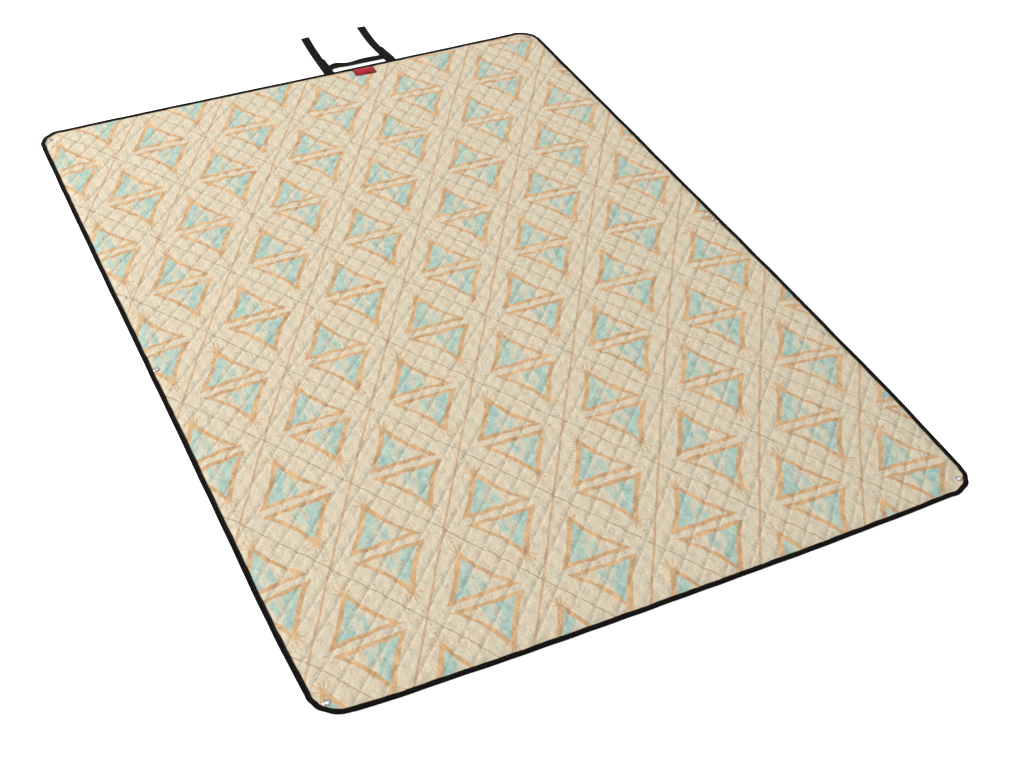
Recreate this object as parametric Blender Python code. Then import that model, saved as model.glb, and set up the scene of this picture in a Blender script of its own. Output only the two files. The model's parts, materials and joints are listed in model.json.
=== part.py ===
import math

import bpy
from mathutils import Vector

# A quilted camp blanket, lying open. X runs across it and +Y runs towards the carrying straps. The origin is
# on the ground, under the middle of the blanket with its straps. All sizes are in metres.

SHEET_WIDTH = 1.45
SHEET_LENGTH = 2.10
STRAP_REACH = 0.22  # how far the straps run past the sheet
CORNER_RADIUS = 0.060
GAP = 0.0003  # left between pieces that touch
FOLD_GAP = 0.001  # left between panels at a fold line

# Layers, from the ground up
TAPE_THICKNESS = 0.0007
TAPE_COVER = 0.011  # how far the edge tape reaches over each face
BACKING_THICKNESS = 0.0005
WADDING_THICKNESS = 0.0022
COVER_THICKNESS = 0.0005

WEBBING_WIDTH = 0.025
WEBBING_THICKNESS = 0.0015
STRAP_LAYER_LENGTH = 0.079  # the doubled stretch of each strap
STRAP_LAYER_SHIFT = 0.003  # the upper layer lies this far to the right of the lower one
HANDLE_MIDDLE = 0.0265  # from the sheet's edge to the handle's centre line
HANDLE_TUCK = 0.018  # how much of the handle is trapped in each strap
HOOK_TAPE = (0.020, 0.060, 0.0010)  # width, length, thickness
LOOP_PATCH = (0.025, 0.100, 0.0007)
LOOP_PATCH_PLACE = 0.235  # from the sheet's edge to the patch's centre
LABEL_SIZE = (0.062, 0.036, 0.0005)
LABEL_PLACE = 0.185  # the label's centre, across the sheet

EYELET_RADIUS = 0.00775
EYELET_HOLE = 0.0038
BARREL_WALL = 0.0008
FLANGE_THICKNESS = 0.0010
CORNER_EYELET = (0.029, 0.036)  # from the long edge and from the short edge
SIDE_EYELET = 0.0194  # from the long edge
ROUND_SIDES = 24
CORNER_STEPS = 12

BACKING_LOW = TAPE_THICKNESS + GAP
WADDING_LOW = BACKING_LOW + BACKING_THICKNESS + GAP
COVER_LOW = WADDING_LOW + WADDING_THICKNESS + GAP
COVER_HIGH = COVER_LOW + COVER_THICKNESS
TAPE_HIGH = COVER_HIGH + GAP + TAPE_THICKNESS
LAYER_INSET = TAPE_THICKNESS + GAP

HALF_WIDTH = SHEET_WIDTH / 2
PANEL_WIDTH = SHEET_WIDTH / 4
NEAR = -(SHEET_LENGTH + STRAP_REACH) / 2
FAR = NEAR + SHEET_LENGTH
LEFT, RIGHT = -1, 1

CLOTH = {"colour": (0.70, 0.61, 0.46, 1), "roughness": 0.75, "metallic": 0.0}
FILL = {"colour": (0.85, 0.84, 0.80, 1), "roughness": 0.95, "metallic": 0.0}
BACKING = {"colour": (0.035, 0.036, 0.038, 1), "roughness": 0.6, "metallic": 0.0}
BLACK_WEAVE = {"colour": (0.012, 0.011, 0.010, 1), "roughness": 0.7, "metallic": 0.0}
NICKEL = {"colour": (0.62, 0.61, 0.58, 1), "roughness": 0.3, "metallic": 1.0}
RED_WEAVE = {"colour": (0.45, 0.02, 0.03, 1), "roughness": 0.45, "metallic": 0.0}


def clear_scene():
    for item in list(bpy.data.objects):
        bpy.data.objects.remove(item, do_unlink=True)


def material_for(name, finish):
    material = bpy.data.materials.new(name)
    material.use_nodes = True
    shader = material.node_tree.nodes["Principled BSDF"]
    shader.inputs["Base Color"].default_value = finish["colour"]
    shader.inputs["Roughness"].default_value = finish["roughness"]
    shader.inputs["Metallic"].default_value = finish["metallic"]
    return material


def add_solid(name, points, faces, finish, smooth=False):
    """Adds a closed mesh as a named object with its own material, and turns its faces outwards."""
    mesh = bpy.data.meshes.new(name)
    mesh.from_pydata([tuple(p) for p in points], [], faces)
    mesh.materials.append(material_for(name, finish))
    volume = 0.0
    for face in mesh.polygons:
        first = mesh.vertices[face.vertices[0]].co
        for i in range(1, len(face.vertices) - 1):
            second = mesh.vertices[face.vertices[i]].co
            third = mesh.vertices[face.vertices[i + 1]].co
            volume += first.dot(second.cross(third))
    if volume < 0:
        mesh.flip_normals()
    if smooth:
        mesh.shade_smooth()
        mesh.set_sharp_from_angle(angle=math.radians(40))
    solid = bpy.data.objects.new(name, mesh)
    bpy.context.scene.collection.objects.link(solid)
    return solid


def swept(name, rings, finish, smooth=False):
    """A bar through a row of rings, which all have the same number of points, with a face on each end."""
    size = len(rings[0])
    points = [p for ring in rings for p in ring]
    faces = [list(range(size)), list(range((len(rings) - 1) * size, len(rings) * size))[::-1]]
    for i in range(len(rings) - 1):
        for j in range(size):
            k = (j + 1) % size
            faces.append([i * size + k, i * size + j, (i + 1) * size + j, (i + 1) * size + k])
    return add_solid(name, points, faces, finish, smooth)


def slab(name, outline, low, high, finish):
    return swept(name, [[(x, y, z) for x, y in outline] for z in (low, high)], finish)


def arc(centre_x, centre_y, radius, start, end):
    """Points round an arc, with angles in degrees from +X."""
    turns = [math.radians(start + (end - start) * i / CORNER_STEPS) for i in range(CORNER_STEPS + 1)]
    return [(centre_x + radius * math.cos(a), centre_y + radius * math.sin(a)) for a in turns]


def outer_edge(side, inset):
    """An outer panel's free edge, from the near end of its fold line, round both corners, to the far end."""
    fold = -(PANEL_WIDTH + FOLD_GAP / 2)
    centre_x = CORNER_RADIUS - HALF_WIDTH
    radius = CORNER_RADIUS - inset
    path = [(fold, NEAR + inset)]
    path += arc(centre_x, NEAR + CORNER_RADIUS, radius, 270, 180)
    path += arc(centre_x, FAR - CORNER_RADIUS, radius, 180, 90)
    path += [(fold, FAR - inset)]
    return [(-side * x, y) for x, y in path]


def inner_span(side):
    return side * FOLD_GAP / 2, side * (PANEL_WIDTH - FOLD_GAP / 2)


def inner_outline(side):
    start, end = inner_span(side)
    low, high = NEAR + LAYER_INSET, FAR - LAYER_INSET
    return [(start, low), (end, low), (end, high), (start, high)]


def tape_section():
    """The edge tape's section, as pairs of inset from the edge and height: a channel that opens inwards."""
    wall, reach, top = TAPE_THICKNESS, TAPE_COVER, TAPE_HIGH
    lower = [(0, 0), (reach, 0), (reach, wall), (wall, wall)]
    upper = [(wall, top - wall), (reach, top - wall), (reach, top), (0, top)]
    return lower + upper


def edge_tape(name, edge):
    """Sweeps the tape's section along an edge, which is given as a function of the inset."""
    paths = [(edge(inset), height) for inset, height in tape_section()]
    stations = range(len(paths[0][0]))
    rings = [[(*path[i], height) for path, height in paths] for i in stations]
    return swept(name, rings, BLACK_WEAVE, smooth=True)


def eyelet_places():
    places = {}
    for side, side_name in ((LEFT, "left"), (RIGHT, "right")):
        corner_x = side * (HALF_WIDTH - CORNER_EYELET[0])
        places[f"near_{side_name}"] = (corner_x, NEAR + CORNER_EYELET[1])
        places[f"middle_{side_name}"] = (side * (HALF_WIDTH - SIDE_EYELET), (NEAR + FAR) / 2)
        places[f"far_{side_name}"] = (corner_x, FAR - CORNER_EYELET[1])
    return places


def turned(name, centre, profile, finish):
    """A ring turned about the vertical through centre, from a closed profile of radius and height pairs."""
    size = len(profile)
    points, faces = [], []
    for i in range(ROUND_SIDES):
        turn = 2 * math.pi * i / ROUND_SIDES
        points += [(centre[0] + r * math.cos(turn), centre[1] + r * math.sin(turn), z) for r, z in profile]
    for i in range(ROUND_SIDES):
        this, following = i * size, (i + 1) % ROUND_SIDES * size
        for j in range(size):
            k = (j + 1) % size
            faces.append([this + j, this + k, following + k, following + j])
    return add_solid(name, points, faces, finish, smooth=True)


def eyelet(name, centre):
    barrel = EYELET_HOLE + BARREL_WALL
    seat = COVER_HIGH + GAP
    top = seat + FLANGE_THICKNESS
    round_off = FLANGE_THICKNESS * 0.55
    profile = [
        (EYELET_HOLE, GAP),
        (barrel, GAP),
        (barrel, seat),
        (EYELET_RADIUS, seat),
        (EYELET_RADIUS, top - round_off),
        (EYELET_RADIUS - round_off, top),
        (EYELET_HOLE + round_off, top),
        (EYELET_HOLE, top - round_off),
    ]
    return turned(name, centre, profile, NICKEL)


def washer(name, centre):
    inner = EYELET_HOLE + BARREL_WALL + GAP
    high = BACKING_LOW - GAP
    profile = [(inner, 0), (EYELET_RADIUS, 0), (EYELET_RADIUS, high), (inner, high)]
    return turned(name, centre, profile, NICKEL)


def eyelet_cutter(name, centre):
    """A round bar, wider than an eyelet's barrel by the gap, that cuts its hole through the layers."""
    radius = EYELET_HOLE + BARREL_WALL + GAP
    low, high = BACKING_LOW - 0.005, COVER_HIGH + 0.005
    turns = [2 * math.pi * i / ROUND_SIDES for i in range(ROUND_SIDES)]
    outline = [(centre[0] + radius * math.cos(a), centre[1] + radius * math.sin(a)) for a in turns]
    cutter = slab(name, outline, low, high, NICKEL)
    cutter.hide_render = True
    cutter.display_type = "WIRE"
    return cutter


def cut(solid, cutter):
    modifier = solid.modifiers.new(f"hole_{cutter.name}", "BOOLEAN")
    modifier.operation = "DIFFERENCE"
    modifier.object = cutter


def strap_centre(side, y):
    """Where a strap's centre line lies across the sheet, at a place along it: both straps lie a little bent."""
    along = (y - FAR) / STRAP_REACH
    if side == LEFT:
        return 0.0913 + 0.0085 * along**2
    return 0.278 - 0.005 * along - 0.007 * math.sin(math.pi * along)


def webbing(name, line, thickness, width=WEBBING_WIDTH, finish=BLACK_WEAVE, across=(1, 0, 0)):
    """A flat strip whose underside follows a line of points, level from side to side, with square-cut ends."""
    half = Vector(across) * width / 2
    up = Vector((0, 0, thickness))
    rings = []
    for point in map(Vector, line):
        rings.append([point - half, point + half, point + half + up, point - half + up])
    return swept(name, rings, finish)


def strap_line(side, start, end, height, shift=0.0, steps=8):
    """Points along a strap, from start to end past the sheet's edge. height is a number or a function."""
    line = []
    for i in range(steps + 1):
        past = start + (end - start) * i / steps
        z = height(past) if callable(height) else height
        line.append((strap_centre(side, FAR + past) + shift, FAR + past, z))
    return line


def layer_height(past):
    """The upper layer's underside: it lies on the lower layer, and climbs over the handle's end."""
    low = WEBBING_THICKNESS + GAP
    climb = 0.004
    away = abs(past - HANDLE_MIDDLE) - WEBBING_WIDTH / 2 - 2 * GAP
    return low + low * min(max(1 - away / climb, 0), 1)


def add_panels():
    for side, side_name in ((LEFT, "left"), (RIGHT, "right")):
        outlines = {"outer": outer_edge(side, LAYER_INSET), "inner": inner_outline(side)}
        for place, outline in outlines.items():
            panel = f"{side_name}_{place}"
            layers = (
                slab(f"backing_{panel}", outline, BACKING_LOW, BACKING_LOW + BACKING_THICKNESS, BACKING),
                slab(f"wadding_{panel}", outline, WADDING_LOW, WADDING_LOW + WADDING_THICKNESS, FILL),
                slab(f"cover_{panel}", outline, COVER_LOW, COVER_HIGH, CLOTH),
            )
            if place == "outer":
                for layer in layers:
                    for end in ("near", "middle", "far"):
                        cut(layer, bpy.data.objects[f"cutter_{end}_{side_name}"])


def add_edge_tape():
    for side, side_name in ((LEFT, "left"), (RIGHT, "right")):
        edge_tape(f"binding_{side_name}_outer", lambda inset, side=side: outer_edge(side, inset))
        start, end = inner_span(side)
        for end_name, edge, inwards in (("near", NEAR, 1), ("far", FAR, -1)):

            def straight(inset, edge=edge, inwards=inwards, span=(start, end)):
                return [(x, edge + inwards * inset) for x in span]

            edge_tape(f"binding_{side_name}_inner_{end_name}", straight)


def add_eyelets():
    for place, centre in eyelet_places().items():
        eyelet(f"eyelet_{place}", centre)
        washer(f"washer_{place}", centre)


def add_straps():
    for side, side_name in ((LEFT, "left"), (RIGHT, "right")):
        root, doubled, hinge_gap = 0.0005, STRAP_LAYER_LENGTH, 0.0005
        hinge = doubled + 2 * hinge_gap
        webbing(f"strap_base_{side_name}", strap_line(side, root, doubled, 0), WEBBING_THICKNESS)
        upper = strap_line(side, root, doubled, layer_height, STRAP_LAYER_SHIFT, steps=40)
        webbing(f"strap_layer_{side_name}", upper, WEBBING_THICKNESS)
        free = strap_line(side, hinge + hinge_gap, STRAP_REACH, 0, steps=12)
        webbing(f"strap_end_{side_name}", free, WEBBING_THICKNESS)
        width, length, thickness = HOOK_TAPE
        hook_end = STRAP_REACH - 0.004
        hooks = strap_line(side, hook_end - length, hook_end, WEBBING_THICKNESS + GAP)
        webbing(f"hook_tape_{side_name}", hooks, thickness, width)
        width, length, thickness = LOOP_PATCH
        middle_x, middle_y = strap_centre(side, FAR), FAR - LOOP_PATCH_PLACE
        loops = [(middle_x, middle_y - length / 2, 0), (middle_x, middle_y + length / 2, 0)]
        webbing(f"loop_patch_{side_name}", loops, thickness, width)


def add_handle():
    y = FAR + HANDLE_MIDDLE
    reach = WEBBING_WIDTH / 2 - HANDLE_TUCK
    start = strap_centre(LEFT, y) + reach
    end = strap_centre(RIGHT, y) - reach
    low = WEBBING_THICKNESS + GAP
    line = [(start + (end - start) * i / 8, y, low) for i in range(9)]
    webbing("handle", line, WEBBING_THICKNESS, across=(0, 1, 0))


def add_label():
    width, length, thickness = LABEL_SIZE
    sewn = FAR - TAPE_COVER - GAP
    low = COVER_HIGH + GAP
    line = [(LABEL_PLACE, sewn - length, low), (LABEL_PLACE, sewn, low)]
    webbing("label", line, thickness, width, RED_WEAVE)


clear_scene()
for spot, middle in eyelet_places().items():
    eyelet_cutter(f"cutter_{spot}", middle)
add_panels()
add_edge_tape()
add_eyelets()
add_straps()
add_handle()
add_label()
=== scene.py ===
import json
import math

import bpy
import numpy as np
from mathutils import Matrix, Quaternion, Vector


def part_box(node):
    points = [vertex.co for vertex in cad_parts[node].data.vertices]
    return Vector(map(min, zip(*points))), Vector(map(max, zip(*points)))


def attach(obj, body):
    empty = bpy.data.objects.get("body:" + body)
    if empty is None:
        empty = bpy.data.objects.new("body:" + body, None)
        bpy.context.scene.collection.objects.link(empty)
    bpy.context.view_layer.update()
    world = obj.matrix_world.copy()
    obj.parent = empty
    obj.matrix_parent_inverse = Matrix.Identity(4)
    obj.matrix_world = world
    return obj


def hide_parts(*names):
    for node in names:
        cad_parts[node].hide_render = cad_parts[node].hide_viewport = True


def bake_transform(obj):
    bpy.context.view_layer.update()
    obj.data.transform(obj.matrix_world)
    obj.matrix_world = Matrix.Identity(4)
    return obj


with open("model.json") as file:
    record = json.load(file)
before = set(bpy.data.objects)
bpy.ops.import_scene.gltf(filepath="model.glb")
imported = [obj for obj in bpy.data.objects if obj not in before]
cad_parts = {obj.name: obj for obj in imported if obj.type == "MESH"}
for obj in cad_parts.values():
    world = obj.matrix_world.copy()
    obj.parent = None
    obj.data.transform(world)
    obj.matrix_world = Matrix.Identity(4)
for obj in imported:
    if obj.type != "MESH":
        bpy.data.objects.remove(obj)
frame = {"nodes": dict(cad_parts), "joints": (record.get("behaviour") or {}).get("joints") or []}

scene = bpy.context.scene
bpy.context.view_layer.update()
hinge = {joint["name"]: Vector(joint["pos_m"]) for joint in frame["joints"]}

outline = {
    "halfWidth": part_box("binding_right_outer")[1].x,
    "near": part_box("binding_right_outer")[0].y,
    "far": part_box("binding_right_outer")[1].y,
    "cornerRadius": 0.060,
    "trim": 0.0035,          # the quilt stops this far inside the tape's outer edge
}
outline["middle"] = (outline["near"] + outline["far"]) / 2
outline["halfLength"] = (outline["far"] - outline["near"]) / 2

bow = {          # how far the sheet's sides stray from straight lines
    "nearRise": 0.0028,      # the near side bulges in its middle and drops at its ends
    "nearDrop": 0.0090,
    "farWave": 0.0012,
    "rightBulge": 0.0030,
    "rightDraw": 0.0080,     # the near corners draw in
    "rightWaist": 0.0026,
    "leftWave": 0.0008,
    "leftDraw": 0.0048,
    "tipDraw": 0.0040,       # and the left one a little more, over a shorter way
}

folds = {
    "outer": hinge["right_outer_fold"].x,
    "outerSpread": 0.010,    # half the width of cloth that turns round an outer fold
    "centreSpread": 0.020,
}

quilt = {
    "cell": 0.0414,          # between neighbouring seams, which run at 45 degrees
    "quads": 12,             # mesh squares along a cell
    "seamHeight": 0.0029,
    "puff": 0.0042,
    "backSeam": 0.0017,
    "backPuff": 0.0013,
    "lowest": 0.0002,
    "flatRim": 0.0115,       # the puffing starts this far inside the edge
    "rimRise": 0.015,
    "threadRim": 0.0125,     # and the stitching this far
    "backHole": 0.0080,      # the layers below the cover open this wide round each eyelet
    "waddingHole": 0.0110,
    "coverHole": 0.0052,
    "labelPress": 0.42,      # how much of the puffing is lost at the label and in creases
    "foldCrease": 0.30,
    "crossCrease": 0.22,
    "seed": 11,
}

tape = {
    "width": 0.0112,
    "thickness": 0.0006,
    "height": 0.0046,
    "step": 0.004,
    "sway": 0.0005,          # how unevenly it is sewn on, along the sides and at the corners
    "cornerSway": 0.0013,
    "lift": 0.0004,
    "wave": 0.00016,
    "cutNear": 0.178,        # where the pieces of tape meet, left and right of the middle
    "cutFarLeft": -0.178,
    "cutFarRight": 0.315,
}

print("frame loaded:", len(frame["nodes"]), "parts")


# numbers over the sheet

def smooth(value):
    value = np.clip(value, 0.0, 1.0)
    return value * value * (3 - 2 * value)


def bell(value, width):
    return np.exp(-(value / width) ** 2)


def insideBy(x, y):          # how far a place is inside the sheet's rounded outline
    radius = outline["cornerRadius"]
    right = np.abs(x) - (outline["halfWidth"] - radius)
    up = np.abs(y - outline["middle"]) - (outline["halfLength"] - radius)
    corner = np.hypot(np.maximum(right, 0), np.maximum(up, 0))
    return radius - corner - np.minimum(np.maximum(right, up), 0)


def drift(x, y, size, seed, count=7):          # smooth, aimless variation, mostly between -1 and 1
    dice = np.random.default_rng(seed)
    turns = dice.uniform(0, 2 * math.pi, (count, 2))
    rates = dice.uniform(0.7, 1.5, count) * 2 * math.pi / size
    total = sum(
        np.sin((x * math.cos(turn) + y * math.sin(turn)) * rate + phase)
        for (turn, phase), rate in zip(turns, rates)
    )
    return total / math.sqrt(2 * count)


def bowed(x, y):          # the sheet's sides are not quite straight: its near corners draw in
    nearness = smooth((outline["near"] + 0.40 - y) / 0.40)
    up = (bow["nearRise"] - bow["nearDrop"] * np.abs(x / 0.65) ** 2.5) * nearness
    up = up + bow["farWave"] * np.sin(5.0 * x + 0.6) * smooth((y - outline["far"] + 0.30) / 0.30)
    cornered = smooth((outline["near"] + 0.34 - y) / 0.34)
    onRight = bow["rightBulge"] * bell(y + 0.40, 0.40) - bow["rightDraw"] * cornered
    onRight = onRight - bow["rightWaist"] * bell(y - 0.80, 0.25)
    onLeft = bow["leftWave"] * np.sin(4.2 * y) - bow["leftDraw"] * cornered
    sideways = np.where(x > 0, onRight, onLeft)
    tip = bow["tipDraw"] * bell(np.hypot(x + outline["halfWidth"], y - outline["near"]), 0.075)
    moved = (sideways * smooth((np.abs(x) - 0.45) / 0.27) - tip) * np.sign(x)
    return x + moved, y - up + tip


eyeletPlaces = {}
for end in ("near", "middle", "far"):
    for side in ("left", "right"):
        low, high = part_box(f"eyelet_{end}_{side}")
        eyeletPlaces[f"{end}_{side}"] = ((low.x + high.x) / 2, (low.y + high.y) / 2)


# meshes

def newPiece(name, points, faces, material, normals=None, place=None):
    mesh = bpy.data.meshes.new(name)
    mesh.from_pydata(np.asarray(points).tolist(), [], [list(face) for face in faces])
    mesh.materials.append(material)
    mesh.polygons.foreach_set("use_smooth", [True] * len(mesh.polygons))
    if place is not None:          # the piece's own flat coordinates, in metres
        layer = mesh.uv_layers.new(name="place")
        corners = np.empty(len(mesh.loops), np.int32)
        mesh.loops.foreach_get("vertex_index", corners)
        layer.data.foreach_set("uv", np.asarray(place)[corners].astype(np.float32).ravel())
    if normals is not None:
        mesh.normals_split_custom_set_from_vertices(np.asarray(normals).tolist())
    mesh.update()
    piece = bpy.data.objects.new(name, mesh)
    scene.collection.objects.link(piece)
    return piece


def ringFaces(rows, ring, closed=False):          # squares between neighbouring rings of points
    faces = []
    for a in range(rows if closed else rows - 1):
        near, far = a * ring, (a + 1) % rows * ring
        for b in range(ring):
            c = (b + 1) % ring
            faces.append((near + b, near + c, far + c, far + b))
    return faces


def gridNormals(points, wrap=(False, False)):          # of a grid of points, from its neighbours
    slopes = []
    for axis in (0, 1):
        ahead = np.roll(points, -1, axis)
        behind = np.roll(points, 1, axis)
        if not wrap[axis]:
            first = [slice(None)] * 3
            last = [slice(None)] * 3
            first[axis] = 0
            last[axis] = -1
            behind[tuple(first)] = points[tuple(first)]
            ahead[tuple(last)] = points[tuple(last)]
        slopes.append(ahead - behind)
    normals = np.cross(slopes[0], slopes[1])
    return normals / np.maximum(np.linalg.norm(normals, axis=-1, keepdims=True), 1e-12)


def plainMesh(piece, name):          # what the modifiers make, as a mesh of its own
    graph = bpy.context.evaluated_depsgraph_get()
    mesh = bpy.data.meshes.new_from_object(piece.evaluated_get(graph), depsgraph=graph)
    mesh.name = name
    made = bpy.data.objects.new(name, mesh)
    scene.collection.objects.link(made)
    bpy.data.objects.remove(piece)
    return made


# shader arithmetic

def addNode(tree, kind, inputs, **settings):          # a node with its settings, links and values
    made = tree.nodes.new(kind)
    for name, value in settings.items():
        setattr(made, name, value)
    for label, value in inputs.items():
        source = getattr(value, "socket", value)
        if isinstance(source, bpy.types.NodeSocket):
            tree.links.new(source, made.inputs[label])
        else:
            made.inputs[label].default_value = value
    return made


class Field:          # a shader value that takes plain arithmetic
    def __init__(self, tree, socket):
        self.tree = tree
        self.socket = socket

    def node(self, operation, *others):
        values = dict(enumerate((self, *others)))
        made = addNode(self.tree, "ShaderNodeMath", values, operation=operation)
        return Field(self.tree, made.outputs[0])

    def __add__(self, other):
        return self.node("ADD", other)

    def __sub__(self, other):
        return self.node("SUBTRACT", other)

    def __rsub__(self, other):
        return self.node("MULTIPLY_ADD", -1.0, other)

    def __mul__(self, other):
        return self.node("MULTIPLY", other)

    def __truediv__(self, other):
        return self.node("DIVIDE", other)

    def __abs__(self):
        return self.node("ABSOLUTE")

    def least(self, *others):
        value = self
        for other in others:
            value = value.node("MINIMUM", other)
        return value

    def most(self, *others):
        value = self
        for other in others:
            value = value.node("MAXIMUM", other)
        return value

    def rise(self, low, high):          # 0 below low, 1 above high
        values = {"Value": self, "From Min": low, "From Max": high}
        made = addNode(self.tree, "ShaderNodeMapRange", values, interpolation_type="SMOOTHSTEP")
        return Field(self.tree, made.outputs["Result"])

    def fall(self, low, high):
        return 1.0 - self.rise(low, high)


def display(*levels):          # a colour as a screen shows it, as light
    return tuple(((c / 255 + 0.055) / 1.055) ** 2.4 if c > 10 else c / 255 / 12.92 for c in levels)


def newGroup(name, inputs, outputs):
    tree = bpy.data.node_groups.new(name, "ShaderNodeTree")
    for label, value in inputs.items():
        kind = "NodeSocketVector" if value is None else "NodeSocketFloat"
        socket = tree.interface.new_socket(name=label, in_out="INPUT", socket_type=kind)
        if value is not None:
            socket.default_value = value
    for label, kind in outputs.items():
        tree.interface.new_socket(name=label, in_out="OUTPUT", socket_type=kind)
    entry = tree.nodes.new("NodeGroupInput")
    leave = tree.nodes.new("NodeGroupOutput")
    fields = {label: Field(tree, entry.outputs[label]) for label in inputs}
    return tree, fields, leave


def giveOut(tree, leave, **values):
    for label, value in values.items():
        tree.links.new(value.socket, leave.inputs[label])


def axes(tree, vector):
    made = addNode(tree, "ShaderNodeSeparateXYZ", {0: vector})
    return [Field(tree, made.outputs[i]) for i in range(3)]


def joined(tree, x, y, z=0.0):
    return Field(tree, addNode(tree, "ShaderNodeCombineXYZ", {0: x, 1: y, 2: z}).outputs[0])


def noise(tree, vector, size, seed=0.0, detail=2.0, roughness=0.5, colour=False):
    values = {"Vector": vector, "W": seed, "Scale": 1 / size, "Detail": detail, "Roughness": roughness}
    made = addNode(tree, "ShaderNodeTexNoise", values, noise_dimensions="4D")
    return Field(tree, made.outputs["Color" if colour else "Fac"])


def vectorMath(tree, operation, values):
    return Field(tree, addNode(tree, "ShaderNodeVectorMath", values, operation=operation).outputs[0])


def wobble(tree, vector, size, amount, seed):          # shifts the place, so that edges look drawn by hand
    cloud = noise(tree, vector, size, seed, colour=True)
    cloud = vectorMath(tree, "SUBTRACT", {0: cloud, 1: (0.5, 0.5, 0.5)})
    cloud = vectorMath(tree, "SCALE", {0: cloud, "Scale": 2 * amount})
    return vectorMath(tree, "ADD", {0: vector, 1: cloud})


def blendColour(tree, share, *colours):          # between two colours
    first, second = (c if isinstance(c, Field) else (*c, 1.0) for c in colours)
    made = addNode(tree, "ShaderNodeMix", {0: share, 6: first, 7: second}, data_type="RGBA")
    return Field(tree, made.outputs[2])


def useGroup(tree, group, vector, **values):
    made = addNode(tree, "ShaderNodeGroup", {0: vector, **values}, node_tree=group)
    return {socket.name: Field(tree, socket) for socket in made.outputs}


def newMaterial(name, roughness=0.8, metallic=0.0, sheen=0.0, specular=0.5):
    material = bpy.data.materials.new(name)
    material.use_nodes = True
    tree = material.node_tree
    shader = tree.nodes["Principled BSDF"]
    shader.inputs["Roughness"].default_value = roughness
    shader.inputs["Metallic"].default_value = metallic
    shader.inputs["Sheen Weight"].default_value = sheen
    shader.inputs["Specular IOR Level"].default_value = specular
    return material, tree, shader


def ownPlace(tree):
    return Field(tree, addNode(tree, "ShaderNodeUVMap", {}, uv_map="place").outputs[0])


def objectPlace(tree):
    return Field(tree, addNode(tree, "ShaderNodeTexCoord", {}).outputs["Object"])


def paint(tree, shader, base, rough=None):
    tree.links.new(base.socket, shader.inputs["Base Color"])
    if rough is not None:
        tree.links.new(rough.socket, shader.inputs["Roughness"])


def bump(tree, shader, height, depth):
    made = addNode(tree, "ShaderNodeBump", {"Distance": depth, "Strength": 1.0, "Height": height})
    tree.links.new(made.outputs[0], shader.inputs["Normal"])


# the light falls at this level on a flat surface, so a dye is its look on a screen divided by it
studio = {
    "level": 1.17,
    "fill": 0.62,
    "key": 708.0,
    "keyPlace": (-6.4, 3.2, 5.0),
    "keySize": 2.6,
    "paper": 0.95,
    "paperGlow": 0.75,
    "floorSize": 160.0,
    "floorHeight": -0.0004,
}


def dye(*levels):
    return tuple(c / studio["level"] for c in display(*levels))


pattern = {
    "firstRow": 0.1438,          # from the near edge to the first row of motifs
    "firstMotif": 0.1577,
    "halfWide": 0.11955,         # half the distance between motifs in a row
    "rowPitch": 0.1960,
    "rowLean": 0.027,            # the rows run lower towards the right
    "rowBow": 0.126,             # and bend down at both sides, with the fourth power of the distance
    "columnLean": 0.005,
    "sideReach": 0.64,           # the triangles' sides lie at this share of the lattice cell
    "baseGap": 0.0130,
    "brush": 0.0053,             # half the width of a brush stroke
    "bowSmooth": 0.050,          # the sides bend inwards by this share
    "bowRough": 0.085,
    "dyes": {
        "cream": (227, 213, 186),
        "creamWarm": (232, 213, 182),
        "creamCool": (222, 213, 189),
        "tan": (225, 184, 136),
        "tanDeep": (208, 164, 116),
        "tanBright": (233, 189, 138),
        "aqua": (184, 213, 199),
        "aquaDeep": (154, 199, 192),
        "line": (199, 158, 112),
        "singleLine": (178, 147, 108),
        "dot": (150, 120, 90),
    },
    "rays": [(0.0, 0.033), (0.40, 0.033), (0.95, 0.029)],          # angle from the middle one, length
    "dotPlaces": [          # across, up and size, from where two lines cross
        (0.0325, 0.0, 0.0020), (0.0, 0.020, 0.0019), (0.0, 0.039, 0.0021), (0.019, 0.004, 0.0012),
    ],
}


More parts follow.
